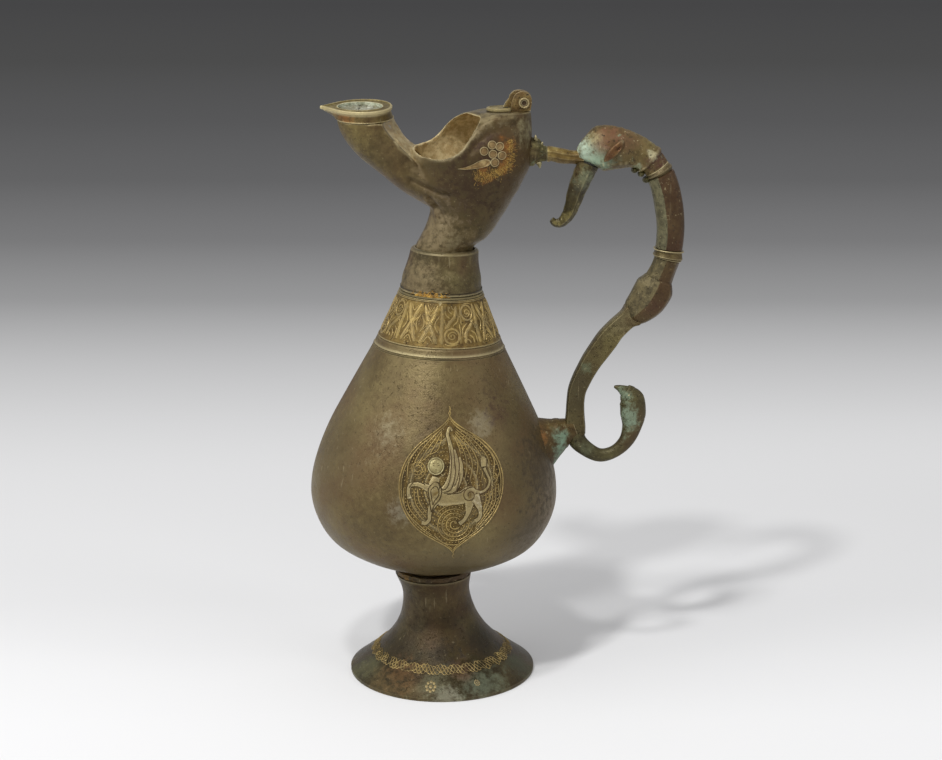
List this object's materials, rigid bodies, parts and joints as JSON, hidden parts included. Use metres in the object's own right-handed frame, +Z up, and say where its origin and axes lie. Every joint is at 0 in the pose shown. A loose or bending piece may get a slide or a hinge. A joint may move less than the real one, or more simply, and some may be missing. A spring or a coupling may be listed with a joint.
{
  "type": "ibrik ewer",
  "caption": "Cast copper-alloy pouring ewer: pear body on a hollow trumpet foot, lamp-shaped head with a saddle opening and a small hinged lid, and a beast-headed loop handle.",
  "frame": {"origin": "on the ground plane, below the centre of the ewer's bounding box", "axes": "+Z up, -X towards the spout, +X towards the handle, the hinge of the lid runs along Y"},
  "size_m": [0.2362, 0.1574, 0.3797],
  "materials": {
    "patina": "dark grey-brown bronze patina, satin",
    "dark_patina": "darker bronze patina, satin",
    "gold_inlay": "golden relief lines on a dark ground",
    "silver_inlay": "worn pale inlay",
    "solder": "dull golden solder",
    "verdigris": "green corrosion over bronze, matt",
    "red_brown": "red-brown bronze patina"
  },
  "bodies": {
    "vessel": {"foot": "patina", "stem_solder": "solder", "belly_shell": "patina", "medallion_near": "gold_inlay", "medallion_far": "gold_inlay", "shoulder_seam": "solder", "shoulder_shell": "patina", "relief_band": "gold_inlay", "collar_solder": "solder", "neck_collar": "dark_patina", "head_shell": "patina", "eye_inlay_near": "silver_inlay", "eye_inlay_far": "silver_inlay", "mouth_collar": "patina", "mouth_rim": "patina", "hinge_lug_near": "patina", "hinge_lug_far": "patina", "hinge_pin": "solder", "strut_root": "patina", "strut_rod": "dark_patina", "beast_head": "verdigris", "beast_trunk": "dark_patina", "beast_ear_near": "red_brown", "beast_ear_far": "red_brown", "neck_ring": "verdigris", "neck_bead_1": "dark_patina", "neck_bead_2": "dark_patina", "neck_bead_3": "dark_patina", "grip": "red_brown", "grip_ring": "dark_patina", "grip_neck": "dark_patina", "knuckle": "patina", "strap": "patina", "tail_curl": "verdigris", "bird_head": "dark_patina", "root_boss": "verdigris"},
    "lid": {"lid_plate": "patina", "lid_thumb": "red_brown"}
  },
  "joints": [
    {"name": "lid_hinge", "type": "hinge", "parent": "vessel", "child": "lid", "pos_m": [0.01743, 0, 0.37178], "axis": [0, 1, 0], "range_deg": [0, 100]}
  ]
}
